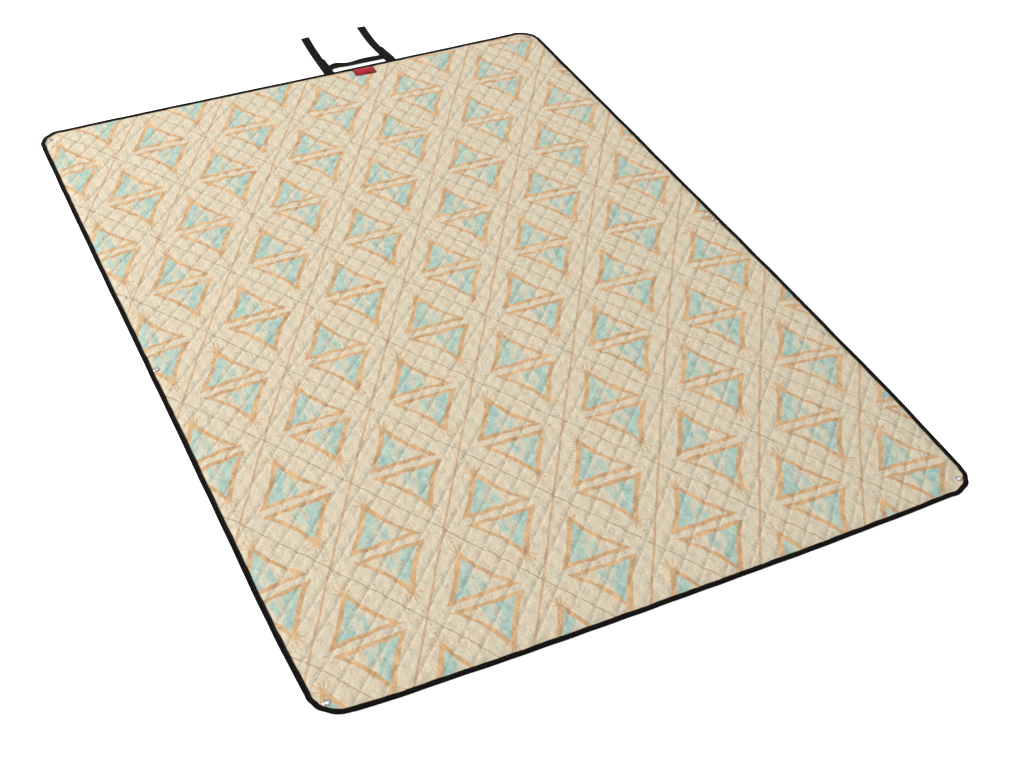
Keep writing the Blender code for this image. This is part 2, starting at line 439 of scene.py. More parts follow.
def printedPattern():
    tree, fields, leave = newGroup(
        "printedPattern", {"Place": None}, {"Colour": "NodeSocketColor", "Ink": "NodeSocketFloat"}
    )
    wide = pattern["halfWide"]
    tall = pattern["rowPitch"]
    start = fields["Place"]
    fromSide, fromEnd, _ = axes(tree, start)
    centred = fromSide - outline["halfWidth"]
    squared = centred * centred
    lower = centred * pattern["rowLean"] + squared * squared * pattern["rowBow"]
    aside = (fromEnd - outline["halfLength"]) * pattern["columnLean"]
    drawn = wobble(tree, joined(tree, fromSide - aside, fromEnd + lower), 0.070, 0.0022, 1.0)
    drawn = wobble(tree, drawn, 0.014, 0.0008, 2.0)
    x, y, _ = axes(tree, drawn)
    w = (x - pattern["firstMotif"]) / wide
    h = (y - pattern["firstRow"]) / tall
    rising = (h - w) * 0.5          # steps by one from each rising line of the lattice to the next
    falling = (h + w) * 0.5

    def nearest(value):
        return value - value.node("ROUND")

    fallLocal = nearest(falling)
    riseLocal = nearest(rising)
    acrossMotif = (fallLocal - riseLocal) * wide
    upMotif = (fallLocal + riseLocal) * tall
    side = upMotif.node("SIGN")
    right = acrossMotif * side          # the lower triangle is the upper one turned by half a turn
    up = abs(upMotif)

    perUnit = wide * tall / math.hypot(wide, tall)
    reach = pattern["sideReach"]
    bent = ((up / (reach * tall)).node("MINIMUM", 1.0) * math.pi).node("SINE")
    fromLeft = (right / wide - up / tall + reach - bent * pattern["bowSmooth"]) * perUnit
    fromRight = (reach - bent * pattern["bowRough"] - (right / wide + up / tall)) * perUnit
    fromBase = up - pattern["baseGap"]
    blot = noise(tree, start, 0.016, 3.0, detail=3.0)
    slow = noise(tree, start, 0.050, 4.0, detail=1.0)
    brush = pattern["brush"]
    leftHalf = (slow - 0.5) * 0.003 + (brush * 0.98)
    rightHalf = (blot - 0.5) * 0.009 + (brush * 0.88)
    baseHalf = (blot - 0.5) * 0.005 + (brush * 0.98)
    outer = (fromLeft + leftHalf).least(fromRight + rightHalf, fromBase + baseHalf)
    inner = (fromLeft - leftHalf).least(fromRight - rightHalf, fromBase - baseHalf)
    soft = 0.0007
    stroke = outer.rise(-soft, soft) * inner.fall(-soft, soft)
    within = inner.rise(-soft, soft)

    wash = noise(tree, start, 0.022, 5.0, detail=3.0, roughness=0.6)
    wash2 = noise(tree, start, 0.009, 6.0, detail=2.0)
    bandEdge = (wash - 0.5) * 0.016 + up.rise(0.040, 0.090) * 0.026 - 0.013
    band = (right - bandEdge).fall(-0.0022, 0.0022)
    stripe = (abs(right - 0.0100) + (wash2 - 0.5) * 0.008).fall(0.0052, 0.0090)
    stripe = stripe * (up + (wash - 0.5) * 0.02).rise(0.017, 0.024) * up.fall(0.050, 0.066)
    between = (abs(right) + (wash - 0.5) * 0.02).fall(0.006, 0.022) * up.fall(0.060, 0.085)
    aqua = band.most(stripe * 0.9, between * 0.35) * within
    aqua = aqua * (wash2.rise(0.25, 0.62) * 0.45 + 0.55)

    # five thin strokes fan out from each apex
    apex = reach * tall
    fromApex = up - (apex - 0.006)
    radius = (right * right + fromApex * fromApex).node("SQRT")
    turn = abs(right.node("ARCTAN2", fromApex))
    fan = None
    for angle, length in pattern["rays"]:
        off = abs(radius * (turn - angle).node("SINE"))
        ray = off.fall(0.0006, 0.0021) * radius.fall(length - 0.004, length)
        ray = ray * (turn - angle).node("COSINE").rise(0.0, 0.2)
        fan = ray if fan is None else fan.most(ray)
    fan = fan * blot.rise(0.25, 0.40)

    # the lattice: a double rising line and a single falling one with knots in it
    perLine = 2 * perUnit
    riseOff = abs(nearest(rising - 0.5) * perLine)
    fallOff = abs(nearest(falling - 0.5) * perLine)
    strand = abs(riseOff - (wash - 0.5) * 0.0016 - 0.0013)
    double = strand.fall(0.0004, 0.0013)
    pale = riseOff.fall(0.0016, 0.0034) * 0.45
    single = fallOff.fall((blot - 0.5) * 0.0016 + 0.0005, (blot - 0.5) * 0.0016 + 0.0019)

    # dots beside each crossing, and a dotted line from each apex towards it
    crossFall = nearest(falling - 0.5)
    crossRise = nearest(rising - 0.5)
    crossX = abs((crossFall - crossRise) * wide)
    crossY = abs((crossFall + crossRise) * tall)
    dots = None
    for dotX, dotY, size in pattern["dotPlaces"]:
        offX = crossX - dotX
        offY = crossY - dotY
        dot = (offX * offX + offY * offY).node("SQRT").fall(size - 0.0007, size + 0.0005)
        dots = dot if dots is None else dots.most(dot)
    middleDot = (acrossMotif * acrossMotif + upMotif * upMotif).node("SQRT").fall(0.0010, 0.0021)
    dashes = (up / 0.0115).node("FRACT").rise(0.25, 0.4) * (up / 0.0115).node("FRACT").fall(0.6, 0.75)
    dashes = dashes * abs(right).fall(0.0005, 0.0014) * up.rise(apex + 0.012, apex + 0.015)
    dots = dots.most(middleDot, dashes * 0.8) * noise(tree, start, 0.030, 8.0).rise(0.36, 0.5)

    # colours, from the ground up
    cloud = noise(tree, start, 0.060, 9.0, detail=4.0, roughness=0.6)
    dyes = {name: dye(*levels) for name, levels in pattern["dyes"].items()}
    ground = blendColour(tree, cloud.rise(0.35, 0.65), dyes["creamWarm"], dyes["creamCool"])
    ground = blendColour(tree, cloud.fall(0.42, 0.58) * 0.5 + 0.25, ground, dyes["cream"])
    ink = blendColour(tree, blot.rise(0.42, 0.62), dyes["tanDeep"], dyes["tan"])
    ink = blendColour(tree, slow.rise(0.45, 0.70), ink, dyes["tanBright"])
    water = blendColour(tree, wash.rise(0.40, 0.62), dyes["aqua"], dyes["aquaDeep"])
    colour = blendColour(tree, aqua * 0.92, ground, water)
    colour = blendColour(tree, pale, colour, dyes["tanBright"])
    pressed = blot.rise(0.25, 0.55) * 0.30 + 0.55
    colour = blendColour(tree, double * pressed, colour, dyes["line"])
    colour = blendColour(tree, single * pressed, colour, dyes["singleLine"])
    colour = blendColour(tree, dots * 0.6, colour, dyes["dot"])
    colour = blendColour(tree, stroke.most(fan * 0.9) * 0.95, colour, ink)
    giveOut(tree, leave, Colour=colour, Ink=stroke.most(aqua))
    return tree


def finePuckers():          # creases too small for the mesh, which run between the deep seams
    tree, fields, leave = newGroup(
        "finePuckers",
        {"Place": None, "Cell": quilt["cell"]},
        {"Height": "NodeSocketFloat", "Seam": "NodeSocketFloat"},
    )
    x, y, _ = axes(tree, fields["Place"])
    middleX, middleY = outline["halfWidth"], outline["halfLength"]
    along = (x + y - (middleX + middleY)) * math.sqrt(0.5)
    across = (y - x - (middleY - middleX)) * math.sqrt(0.5) + quilt["cell"] / 2

    def toSeam(value):
        return abs(value / fields["Cell"] - (value / fields["Cell"]).node("ROUND")) * fields["Cell"]

    deep = toSeam(across)
    light = toSeam(along)
    bent = wobble(tree, joined(tree, along, across), 0.030, 0.003, 20.0)
    along, across, _ = axes(tree, bent)
    acrossDeep = noise(tree, joined(tree, along / 0.0042, across / 0.042), 1.0, 21.0, detail=1.5)
    acrossLight = noise(tree, joined(tree, along / 0.030, across / 0.0060), 1.0, 22.0, detail=1.5)
    crumple = noise(tree, fields["Place"], 0.013, 23.0, detail=2.5, roughness=0.5)
    height = acrossDeep * (deep.fall(0.002, 0.021) * 1.1 + 0.25)
    height = height + acrossLight * light.fall(0.001, 0.011) * 0.6 + crumple * 0.5
    # Seam marks the cloth beside the deep seams, where the cloth material paints shade into the grooves
    giveOut(tree, leave, Height=height, Seam=deep.fall(0.0, 0.003))
    return tree


def plainWeave():
    tree, fields, leave = newGroup(
        "plainWeave", {"Place": None, "Pitch": 0.0006}, {"Height": "NodeSocketFloat"}
    )
    x, y, _ = axes(tree, fields["Place"])
    turns = 2 * math.pi
    warp = (x / fields["Pitch"] * turns).node("SINE")
    weft = (y / fields["Pitch"] * turns).node("SINE")
    giveOut(tree, leave, Height=warp * weft * 0.5 + (warp + weft) * 0.25)
    return tree


def herringbone():
    tree, fields, leave = newGroup(
        "herringbone",
        {"Place": None, "Column": 0.0032, "Pitch": 0.0016, "Slant": 1.0},
        {"Height": "NodeSocketFloat", "Groove": "NodeSocketFloat"},
    )
    x, y, _ = axes(tree, fields["Place"])
    column = (x + 1.0).node("PINGPONG", fields["Column"])
    phase = (y + column * fields["Slant"]) / fields["Pitch"]
    yarn = (phase * (2 * math.pi)).node("SINE") * 0.5 + 0.5
    groove = (column / fields["Column"] - 0.5).node("ABSOLUTE").rise(0.40, 0.5)
    giveOut(tree, leave, Height=yarn * (1.0 - groove * 0.8), Groove=groove)
    return tree


def lint():          # pale fibres, dust and fading on dark cloth
    tree, fields, leave = newGroup("lint", {"Place": None}, {"Share": "NodeSocketFloat"})
    fading = noise(tree, fields["Place"], 0.035, 31.0, detail=3.0)
    specks = noise(tree, fields["Place"], 0.0016, 32.0, detail=2.0).rise(0.66, 0.74)
    giveOut(tree, leave, Share=fading * 0.5 + specks * 0.5)
    return tree


groups = {
    "print": printedPattern(),
    "puckers": finePuckers(),
    "weave": plainWeave(),
    "webbing": herringbone(),
    "lint": lint(),
}


def clothMaterial():
    material, tree, shader = newMaterial("printedCloth", roughness=0.78, sheen=0.08, specular=0.30)
    place = ownPlace(tree)
    printed = useGroup(tree, groups["print"], place)
    puckers = useGroup(tree, groups["puckers"], place)
    weave = useGroup(tree, groups["weave"], place, Pitch=0.0008)
    # painted shade: the print is darkened towards a deep cream along the deep seams, standing in for shadow
    # in their grooves
    paintedSeamShade = blendColour(tree, puckers["Seam"] * 0.18, printed["Colour"], dye(170, 150, 124))
    paint(tree, shader, paintedSeamShade, printed["Ink"] * -0.06 + 0.80)
    bump(tree, shader, puckers["Height"] + weave["Height"] * 0.02, 0.0024)
    return material


def darkCloth(name, colour, worn, roughness, groupName, depth, **values):
    material, tree, shader = newMaterial(name, roughness=roughness, sheen=0.0, specular=0.07)
    place = ownPlace(tree)
    woven = useGroup(tree, groups[groupName], place, **values)
    fibres = useGroup(tree, groups["lint"], place)
    base = blendColour(tree, fibres["Share"], dye(*colour), dye(*worn))
    paint(tree, shader, base)
    bump(tree, shader, woven["Height"], depth)
    return material


def backingMaterial():
    material, tree, shader = newMaterial("coatedBacking", roughness=0.5, specular=0.5)
    place = ownPlace(tree)
    puckers = useGroup(tree, groups["puckers"], place)
    weave = useGroup(tree, groups["weave"], place, Pitch=0.0010)
    fibres = useGroup(tree, groups["lint"], place)
    base = blendColour(tree, fibres["Share"], dye(40, 41, 43), dye(62, 63, 65))
    paint(tree, shader, base, fibres["Share"] * 0.2 + 0.42)
    bump(tree, shader, puckers["Height"] + weave["Height"] * 0.10, 0.0009)
    return material


def waddingMaterial():
    material, tree, shader = newMaterial("fibreWadding", roughness=0.95, sheen=0.3, specular=0.2)
    place = objectPlace(tree)
    fibres = noise(tree, place, 0.004, 41.0, detail=5.0, roughness=0.7)
    base = blendColour(tree, fibres, dye(238, 236, 230), dye(214, 212, 204))
    paint(tree, shader, base)
    bump(tree, shader, fibres, 0.0015)
    return material


def threadMaterial(name, light, dark):
    material, tree, shader = newMaterial(name, roughness=0.55, sheen=0.1)
    place = objectPlace(tree)
    ply = noise(tree, place, 0.0009, 42.0, detail=1.0)
    base = blendColour(tree, ply, dye(*light), dye(*dark))
    paint(tree, shader, base)
    bump(tree, shader, ply, 0.0002)
    return material


satin = {
    "width": 0.062,          # the label's flat size
    "drop": 0.041,
    "rim": 0.0065,           # how wide its rim of painted shade is
}


def satinMaterial():
    material, tree, shader = newMaterial("satinLabel", roughness=0.34, specular=0.22)
    place = ownPlace(tree)
    x, y, _ = axes(tree, place)
    floats = noise(tree, joined(tree, x / 0.0060, y / 0.0005), 1.0, 43.0, detail=2.0)
    weave = useGroup(tree, groups["weave"], place, Pitch=0.0005)
    base = blendColour(tree, floats, dye(204, 22, 48), dye(160, 12, 34))
    # painted shade: the satin darkens to a deep red towards all four edges, standing in for the shade where
    # the curled label turns from the light
    inwards = x.least(satin["width"] - x, y, satin["drop"] - y)
    base = blendColour(tree, inwards.fall(satin["rim"] * 0.3, satin["rim"]) * 0.85, base, dye(92, 2, 14))
    paint(tree, shader, base, floats * 0.14 + 0.28)
    bump(tree, shader, floats + weave["Height"] * 0.3, 0.00012)
    return material


def nickelMaterial():
    material, tree, shader = newMaterial("nickelPlate", roughness=0.28, metallic=1.0)
    place = objectPlace(tree)
    scuffs = noise(tree, place, 0.0024, 44.0, detail=4.0, roughness=0.7)
    base = blendColour(tree, scuffs, display(205, 205, 203), display(176, 177, 178))
    paint(tree, shader, base, scuffs * 0.25 + 0.18)
    bump(tree, shader, scuffs, 0.00008)
    return material


materials = {
    "print": clothMaterial(),
    "backing": backingMaterial(),
    "wadding": waddingMaterial(),
    "seamThread": threadMaterial("seamThread", (214, 200, 172), (186, 170, 142)),
    "blackThread": threadMaterial("blackThread", (44, 42, 39), (26, 25, 23)),
    "tape": darkCloth("ribbedTape", (11, 10, 9), (24, 22, 19), 0.80, "webbing", 0.00035,
                      Column=0.0030, Pitch=0.0012, Slant=0.0),
    "webbing": darkCloth("strapWebbing", (21, 19, 16), (42, 39, 33), 0.72, "webbing", 0.0008,
                         Column=0.0031, Pitch=0.0017, Slant=1.0),
    "hooks": darkCloth("hookTape", (24, 24, 24), (50, 50, 50), 0.55, "weave", 0.0004, Pitch=0.0016),
    "loops": darkCloth("loopTape", (28, 28, 28), (58, 58, 58), 0.95, "weave", 0.0006, Pitch=0.0011),
    "label": satinMaterial(),
    "nickel": nickelMaterial(),
}
print("materials ready:", len(materials))


# the puffed cells, blown up and creased by a cloth simulation of a small patch

trial = {
    "cells": 6,
    "size": 0.5,             # a cell's size while it is simulated
    "spareAlong": 1.070,     # how much longer the cloth is than the seams that hold it
    "spareAcross": 1.030,
    "frames": 30,
    "pressure": 5.0,
    "bending": 0.25,
    "reach": 0.10,           # the furthest that a point may shift sideways, in cells
}


def simulatedCells():
    quads = quilt["quads"]
    side = trial["cells"] * quads + 1
    rows, columns = np.meshgrid(np.arange(side), np.arange(side), indexing="ij")
    flat = np.stack([rows, columns, 0 * rows], -1).reshape(-1, 3) * (trial["size"] / quads)
    corner = (rows[:-1, :-1] * side + columns[:-1, :-1]).ravel()
    faces = np.stack([corner, corner + side, corner + side + 1, corner + 1], -1)
    dice = np.random.default_rng(quilt["seed"])
    held = ((rows % quads == 0) | (columns % quads == 0)).ravel()
    start = flat.copy()
    start[:, 2] = np.where(held, 0.0, dice.uniform(0.0, 0.02, len(flat)))
    patch = newPiece("trialPatch", start, faces, materials["print"])
    patch.shape_key_add(name="Basis")
    cut = patch.shape_key_add(name="Cut")
    larger = start * (trial["spareAlong"], trial["spareAcross"], 1.0)
    cut.data.foreach_set("co", larger.astype(np.float32).ravel())
    seams = patch.vertex_groups.new(name="seams")
    seams.add(np.flatnonzero(held).tolist(), 1.0, "REPLACE")
    cloth = patch.modifiers.new("Cloth", "CLOTH")
    settings = cloth.settings
    settings.quality = 6
    settings.mass = 0.2
    settings.tension_stiffness = 20
    settings.compression_stiffness = 20
    settings.shear_stiffness = 8
    settings.bending_stiffness = trial["bending"]
    settings.use_pressure = True
    settings.uniform_pressure_force = trial["pressure"]
    settings.vertex_group_mass = "seams"
    settings.rest_shape_key = cut
    settings.effector_weights.gravity = 0
    cloth.collision_settings.use_collision = False
    cloth.point_cache.frame_end = trial["frames"]
    for number in range(1, trial["frames"] + 1):
        scene.frame_set(number)
    made = plainMesh(patch, "trialResult")
    points = np.empty(len(made.data.vertices) * 3, np.float32)
    made.data.vertices.foreach_get("co", points)
    bpy.data.objects.remove(made)
    scene.frame_set(1)
    shift = (points.reshape(-1, 3) - flat).reshape(side, side, 3) / trial["size"]
    shift[..., :2] = np.clip(shift[..., :2], -trial["reach"], trial["reach"])
    cells = np.stack([
        shift[a * quads:(a + 1) * quads + 1, b * quads:(b + 1) * quads + 1]
        for a in range(trial["cells"]) for b in range(trial["cells"])
    ])
    middle = cells[:, quads // 2, quads // 2, 2].mean()
    print("simulated cells rise to", round(float(middle), 3), "of a cell")
    cells[..., 2] /= middle
    return cells


cells = simulatedCells()
print("quilt cells ready:", len(cells))


# the quilt's three layers on one slanted grid

quads = quilt["quads"]
half = quads // 2          # the rising seams pass half a cell beside the sheet's middle
pitch = quilt["cell"] / quads
reach = int((outline["halfWidth"] + outline["halfLength"]) * math.sqrt(0.5) / pitch) + 2
columnPitch = pitch * math.sqrt(0.5)
split = round(folds["outer"] / 2 / columnPitch)          # the sheets meet on this column of points
splitPlace = split * columnPitch
along, across = np.meshgrid(np.arange(-reach, reach + 1), np.arange(-reach, reach + 1), indexing="ij")
flatX = (along - across) * columnPitch
flatY = (along + across) * columnPitch + outline["middle"]
inside = insideBy(flatX, flatY)


def calmed():          # where the puffing is held down: eyelets, label, creases from folding
    share = np.ones_like(flatX)
    for x, y in eyeletPlaces.values():
        share *= smooth((np.hypot(flatX - x, flatY - y) - 0.0085) / 0.016)
    low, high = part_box("label")
    besideLabel = np.maximum(np.abs(flatX - (low.x + high.x) / 2) - 0.030, low.y - flatY)
    share *= 1 - quilt["labelPress"] * smooth(1 - besideLabel / 0.012)
    for x in (-folds["outer"], 0.0, folds["outer"]):
        aside = flatX - x + 0.004 * drift(flatX, flatY, 0.5, 51)
        share *= 1 - quilt["foldCrease"] * bell(aside, 0.007)
    share *= 1 - quilt["crossCrease"] * bell(flatY + 0.25 + 0.005 * drift(flatX, flatY, 0.4, 52), 0.008)
    return share


def cellShifts():          # every cell takes one of the simulated ones, turned or mirrored
    dice = np.random.default_rng(quilt["seed"])
    shape = (2 * reach // quads + 6,) * 2
    which = dice.integers(0, len(cells), shape)
    flipA = dice.integers(0, 2, shape).astype(bool)
    flipB = dice.integers(0, 2, shape).astype(bool)
    gain = dice.uniform(0.86, 1.12, shape)
    home = reach // quads + 3
    a = along // quads + home
    b = (across + half) // quads + home
    inA = along % quads
    inB = (across + half) % quads
    inA = np.where(flipA[a, b], quads - inA, inA)
    inB = np.where(flipB[a, b], quads - inB, inB)
    shift = cells[which[a, b], inA, inB].copy()
    shift[..., 0] *= np.where(flipA[a, b], -1, 1)
    shift[..., 1] *= np.where(flipB[a, b], -1, 1)
    shift[..., 2] *= gain[a, b]
    onSeam = (along % quads == 0) | ((across + half) % quads == 0)
    shift[onSeam] = 0
    return shift


shifts = cellShifts()
swell = smooth((inside - quilt["flatRim"]) / quilt["rimRise"]) * calmed()
besideTape = smooth((inside - tape["width"]) / 0.004) * bell(np.maximum(inside - 0.014, 0), 0.014)
ripple = drift(flatX, flatY, 0.016, 53) * besideTape
swayX = 0.0008 * drift(flatX, flatY, 0.16, 54)
swayY = 0.0008 * drift(flatX, flatY, 0.16, 55)


def nearHoles(x, y, snap, hole=0.0048, reachOut=0.018):          # opens the cloth round each eyelet
    gone = np.zeros(x.shape, bool)
    for centreX, centreY in eyeletPlaces.values():
        dx = x - centreX
        dy = y - centreY
        radius = np.maximum(np.hypot(dx, dy), 1e-6)
        wider = hole + np.maximum(radius - snap, 0) * (reachOut - hole) / (reachOut - snap)
        share = np.where(radius < reachOut, wider / radius, 1.0)
        x = centreX + dx * share
        y = centreY + dy * share
        gone |= radius < snap
    return x, y, gone


def layerPoints(height, snap):
    x = flatX + swayX + (shifts[..., 0] - shifts[..., 1]) * math.sqrt(0.5) * quilt["cell"] * swell
    y = flatY + swayY + (shifts[..., 0] + shifts[..., 1]) * math.sqrt(0.5) * quilt["cell"] * swell
    x[np.abs(along - across) == split] = flatX[np.abs(along - across) == split]
    x, y, gone = nearHoles(x, y, snap)
    x, y = bowed(x, y)
    return np.stack([x, y, height], -1), gone


def trimmedFaces(jump, gone):          # triangles of the slanted grid, and the piece that owns each
    steps = np.arange(reach % jump, 2 * reach + 1 - jump, jump)
    a, b = np.meshgrid(steps, steps, indexing="ij")
    size = 2 * reach + 1
    first = a * size + b
    ahead = (a + jump) * size + b
    far = (a + jump) * size + b + jump
    beside = a * size + b + jump
    faces = np.concatenate([
        np.stack([first, ahead, far], -1).reshape(-1, 3),
        np.stack([first, far, beside], -1).reshape(-1, 3),
    ])
    kept = (inside.ravel()[faces] > outline["trim"]).all(1) & ~gone.ravel()[faces].all(1)
    faces = faces[kept]
    centre = flatX.ravel()[faces].mean(1)
    return faces, np.digitize(centre, [-splitPlace, splitPlace])


def pickPoints(faces, *grids):          # only the points that these faces use
    used, renumbered = np.unique(faces, return_inverse=True)
    return renumbered.reshape(faces.shape), [grid.reshape(-1, grid.shape[-1])[used] for grid in grids]


bends = [          # word, first and second body, place, way to the second, spread, panels replaced
    ("Left", "left_inner", "left_outer", -folds["outer"], -1, folds["outerSpread"], ["left_outer"]),
    ("Middle", "right_inner", "left_inner", 0, -1, folds["centreSpread"], ["left_inner", "right_inner"]),
    ("Right", "right_inner", "right_outer", folds["outer"], 1, folds["outerSpread"], ["right_outer"]),
]


def bendWith(piece, number):          # bakes the piece's placement into its points
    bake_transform(piece)


def layDown(piece, number, layer=None):          # hides the CAD panels that the piece stands for, and bakes the piece's placement
    if layer:
        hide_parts(*[f"{layer}_{node}" for node in bends[number][-1]])
    bendWith(piece, number)


placeMap = np.stack([flatX + outline["halfWidth"], flatY - outline["near"]], -1)
seamDepth = quilt["seamHeight"] + 0.0002 * drift(flatX, flatY, 0.09, 56)
coverHeight = seamDepth + quilt["puff"] * shifts[..., 2] * swell + 0.0004 * ripple
coverPoints, coverGone = layerPoints(coverHeight, quilt["coverHole"])
coverNormals = gridNormals(coverPoints)
backHeight = quilt["backSeam"] - quilt["backPuff"] * np.clip(shifts[..., 2], 0, 1.05) * swell
backHeight = np.maximum(backHeight + 0.0003 * ripple, quilt["lowest"])
for side in ("left", "right"):
    low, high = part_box(f"loop_patch_{side}")
    besidePatch = np.maximum(
        np.maximum(low.x - flatX, flatX - high.x), np.maximum(low.y - flatY, flatY - high.y)
    )
    overPatch = high.z + 0.0002
    fade = smooth((besidePatch - 0.002) / 0.010)
    backHeight = np.maximum(backHeight, overPatch - (overPatch - quilt["lowest"]) * fade)


def makeCloth(layer, material, points, normals, gone, order, rests):
    faces, owner = trimmedFaces(1, gone)
    for number, (word, *_) in enumerate(bends):
        ownFaces, (own, ownNormals, place) = pickPoints(
            faces[owner == number][:, ::order], points, normals, placeMap
        )
        piece = newPiece(f"{layer}{word}", own, ownFaces, material, ownNormals, place)
        rests(word)
        layDown(piece, number, layer)
        print(layer, word, "ready:", len(ownFaces), "faces")


def makeCovers():
    makeCloth(
        "cover", materials["print"], coverPoints, coverNormals, coverGone, 1,
        lambda word: f"wadding{word}",
    )


def makeBackings():
    points, gone = layerPoints(backHeight, quilt["backHole"])
    makeCloth(
        "backing", materials["backing"], points, -gridNormals(points), gone, -1,
        lambda word: "floor",
    )


def lowestAround(height, steps):          # of the neighbours, so that a coarser layer stays below
    lowest = height.copy()
    for axis in (0, 1):
        beside = [np.roll(lowest, step, axis) for step in range(-steps, steps + 1)]
        lowest = np.min(beside, axis=0)
    return lowest


def makeWadding():          # a closed pad between the two cloths
    jump = 2          # half as fine as the cloths
    lowest = lowestAround(coverHeight, jump)
    highest = -lowestAround(-backHeight, 1)
    hole = quilt["waddingHole"]
    top, gone = layerPoints(np.maximum(lowest - 0.0005, quilt["seamHeight"] - 0.0006), hole)
    bottom, _ = layerPoints(np.minimum(highest + 0.0004, quilt["seamHeight"] - 0.0008), hole)
    faces, owner = trimmedFaces(jump, gone)
    for number, (word, *_) in enumerate(bends):
        own, (upper, lower) = pickPoints(faces[owner == number], top, bottom)
        count = len(upper)
        edges = np.concatenate([own[:, [0, 1]], own[:, [1, 2]], own[:, [2, 0]]])
        key = np.sort(edges, axis=1)
        _, back, uses = np.unique(key, axis=0, return_inverse=True, return_counts=True)
        rim = edges[uses[back.ravel()] == 1]
        walls = np.stack([rim[:, 1], rim[:, 0], rim[:, 0] + count, rim[:, 1] + count], -1)
        allFaces = own.tolist() + (own[:, ::-1] + count).tolist() + walls.tolist()
        points = np.concatenate([upper, lower])
        piece = newPiece(f"wadding{word}", points, allFaces, materials["wadding"])
        layDown(piece, number, "wadding")
    print("wadding ready")


# stitches by Geometry Nodes

def stitchTree():
    tree = bpy.data.node_groups.new("stitchesOnLine", "GeometryNodeTree")
    tree.is_modifier = True
    face = tree.interface
    face.new_socket(name="Geometry", in_out="INPUT", socket_type="NodeSocketGeometry")
    for label, value in (("Spacing", 0.0035), ("Length", 0.0027), ("Width", 0.0006), ("Sway", 0.0001)):
        face.new_socket(name=label, in_out="INPUT", socket_type="NodeSocketFloat").default_value = value
    face.new_socket(name="Seed", in_out="INPUT", socket_type="NodeSocketInt").default_value = 3
    face.new_socket(name="Thread", in_out="INPUT", socket_type="NodeSocketMaterial")
    face.new_socket(name="Geometry", in_out="OUTPUT", socket_type="NodeSocketGeometry")

    def add(kind, inputs, **settings):
        return addNode(tree, kind, inputs, **settings).outputs

    entry = add("NodeGroupInput", {})
    curve = add("GeometryNodeMeshToCurve", {"Mesh": entry["Geometry"]})
    lengths = {"Curve": curve[0], "Length": entry["Spacing"]}
    spaced = add("GeometryNodeResampleCurve", lengths, mode="LENGTH")
    ends = {0: (-1, -1, 0), 1: (1, 1, 0), "Seed": entry["Seed"]}
    dice = add("FunctionNodeRandomValue", ends, data_type="FLOAT_VECTOR")
    sway = add("ShaderNodeVectorMath", {0: dice[0], "Scale": entry["Sway"]}, operation="SCALE")
    moved = add("GeometryNodeSetPosition", {"Geometry": spaced[0], "Offset": sway[0]})
    shape = add("GeometryNodeMeshUVSphere", {"Segments": 4, "Rings": 2, "Radius": 0.5})
    tangent = add("GeometryNodeInputTangent", {})
    turned = add("FunctionNodeAlignRotationToVector", {"Vector": tangent[0]}, axis="X")
    size = add("ShaderNodeCombineXYZ", {0: entry["Length"], 1: entry["Width"], 2: entry["Width"]})
    placed = add("GeometryNodeInstanceOnPoints", {
        "Points": moved[0], "Instance": shape["Mesh"], "Rotation": turned[0], "Scale": size[0],
    })
    real = add("GeometryNodeRealizeInstances", {"Geometry": placed[0]})
    painted = add("GeometryNodeSetMaterial", {"Geometry": real[0], "Material": entry["Thread"]})
    add("NodeGroupOutput", {0: painted[0]})
    return tree


stitches = {
    "Spacing": 0.0035,
    "Length": 0.0028,
    "Width": 0.00065,
    "Sway": 0.00012,
}
stitchNodes = stitchTree()


def sewn(name, points, edges, thread, **changes):          # one mesh of stitches along these lines
    mesh = bpy.data.meshes.new(name + "Line")
    mesh.from_pydata(np.asarray(points).tolist(), np.asarray(edges).tolist(), [])
    line = bpy.data.objects.new(name + "Line", mesh)
    scene.collection.objects.link(line)
    modifier = line.modifiers.new("stitches", "NODES")
    modifier.node_group = stitchNodes
    wanted = {**stitches, **changes, "Thread": thread}
    for item in stitchNodes.interface.items_tree:
        if item.item_type == "SOCKET" and item.in_out == "INPUT" and item.name in wanted:
            modifier[item.identifier] = wanted[item.name]
    bpy.context.view_layer.update()
    return plainMesh(line, name)


def makeThreads():
    lines = coverPoints + coverNormals * 0.00006
    free = (inside > quilt["threadRim"]) & ~coverGone
    for x, y in eyeletPlaces.values():
        free &= np.hypot(flatX - x, flatY - y) > 0.0088
    size = 2 * reach + 1
    index = np.arange(size * size).reshape(size, size)
    deep = ((across[:-1] + half) % quads == 0) & free[:-1] & free[1:]
    light = (along[:, :-1] % quads == 0) & free[:, :-1] & free[:, 1:]
    edges = np.concatenate([
        np.stack([index[:-1][deep], index[1:][deep]], -1),
        np.stack([index[:, :-1][light], index[:, 1:][light]], -1),
    ])
    owner = np.digitize(flatX.ravel()[edges].mean(1), [-splitPlace, splitPlace])
    for number, (word, *_) in enumerate(bends):
        # each family of seams gets its own copies of the points, so that crossings stay plain
        own = edges[owner == number]
        isDeep = own[:, 1] - own[:, 0] == size
        numbered = np.where(isDeep[:, None], own, own + size * size)
        used, renumbered = np.unique(numbered, return_inverse=True)
        points = lines.reshape(-1, 3)[used % (size * size)]
        edgesHere = renumbered.reshape(own.shape)
        piece = sewn(f"quiltThread{word}", points, edgesHere, materials["seamThread"])
        layDown(piece, number)
    print("quilting thread ready")


# edge tape

